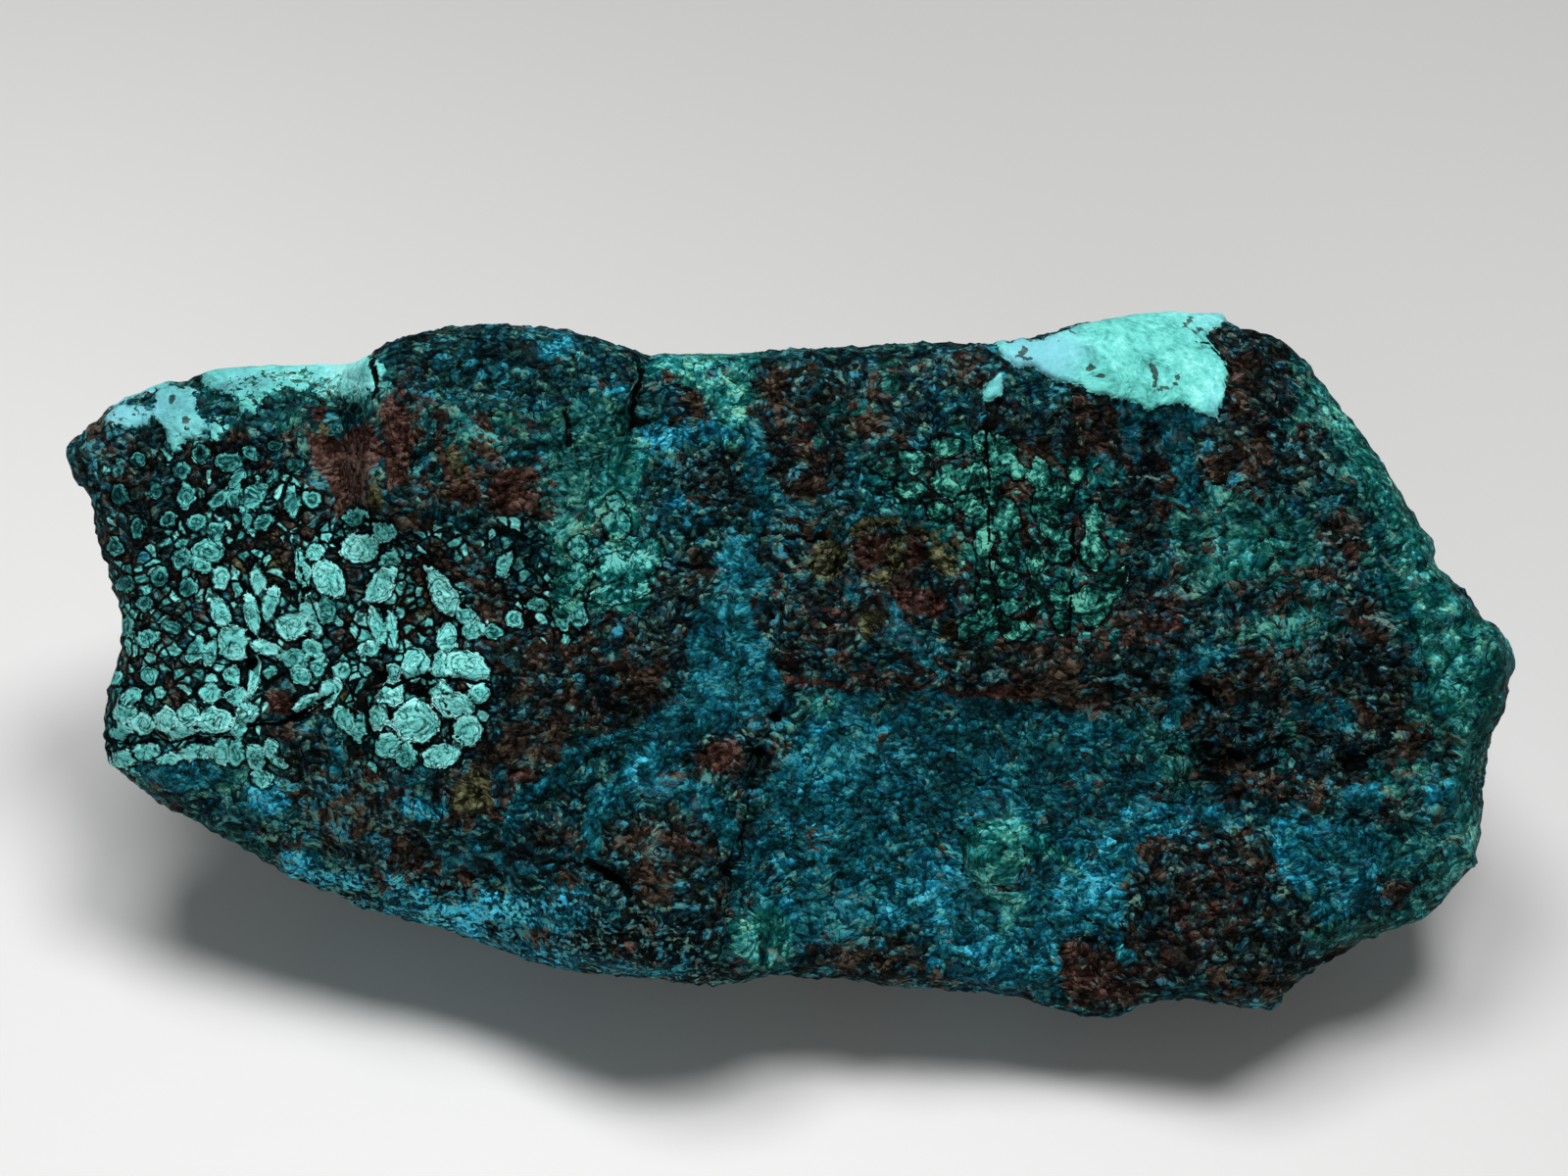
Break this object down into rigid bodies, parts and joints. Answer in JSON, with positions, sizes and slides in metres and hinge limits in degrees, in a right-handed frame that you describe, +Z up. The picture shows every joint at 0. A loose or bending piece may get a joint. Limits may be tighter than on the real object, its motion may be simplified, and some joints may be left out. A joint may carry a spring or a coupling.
{
  "type": "raw chrysocolla specimen",
  "caption": "Rough hand specimen of blue-green chrysocolla in brown matrix, a long blocky stone with a broad broken face, resting on a flat fracture.",
  "frame": {"origin": "on the ground, under the middle of the stone's bounding box", "axes": "+Z up from the flat fracture that the stone rests on, +X along the stone's length, and the broad mottled face looks towards -Y and up"},
  "size_m": [0.1046, 0.048, 0.0456],
  "materials": {
    "chrysocolla": "matte, slightly waxy where the mineral is pure"
  },
  "bodies": {
    "root": {"stone": "chrysocolla"}
  },
  "joints": []
}
